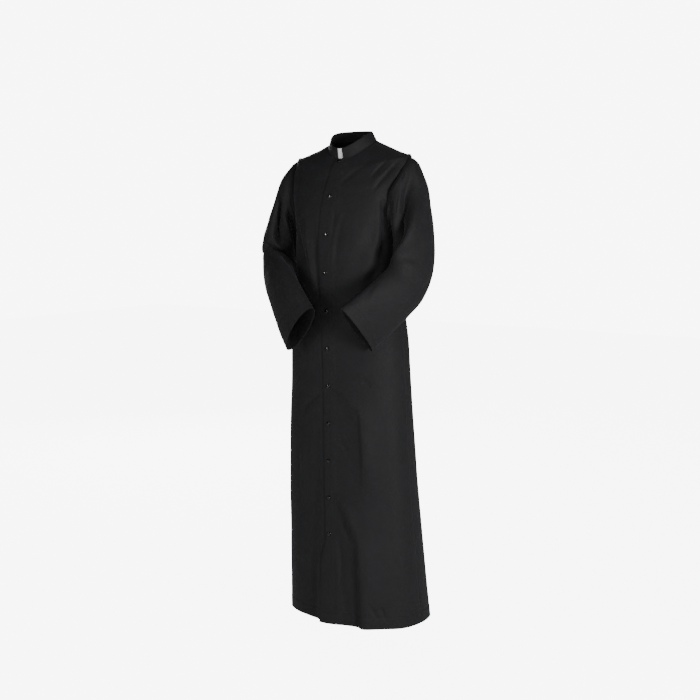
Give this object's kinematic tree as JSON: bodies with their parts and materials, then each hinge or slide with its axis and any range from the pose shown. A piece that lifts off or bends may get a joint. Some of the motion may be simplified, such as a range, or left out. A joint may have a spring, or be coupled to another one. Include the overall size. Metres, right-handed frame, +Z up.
{
  "type": "clergy cassock",
  "caption": "Ankle-length black clergy cassock with long sleeves, a stand collar with a white tab, and a snap-fastened front, in its worn shape with no wearer",
  "frame": {"origin": "centre of the neck at the height of the nape, where the wearer's neck and shoulders carry the garment", "axes": "+Z up, -Y the garment's front, +X the wearer's left"},
  "size_m": [0.5879, 0.4565, 1.4917],
  "materials": {
    "black_cloth": "matte black twill suiting",
    "black_enamel": "glossy black domed snap cap",
    "white_tab": "smooth white collar insert"
  },
  "bodies": {
    "root": {"front_left": "black_cloth", "front_right": "black_cloth", "back": "black_cloth", "sleeve_left": "black_cloth", "sleeve_right": "black_cloth", "collar": "black_cloth", "collar_tab": "white_tab", "snap_01": "black_enamel", "snap_02": "black_enamel", "snap_03": "black_enamel", "snap_04": "black_enamel", "snap_05": "black_enamel", "snap_06": "black_enamel", "snap_07": "black_enamel", "snap_08": "black_enamel", "snap_09": "black_enamel", "snap_10": "black_enamel", "snap_11": "black_enamel"}
  },
  "joints": []
}
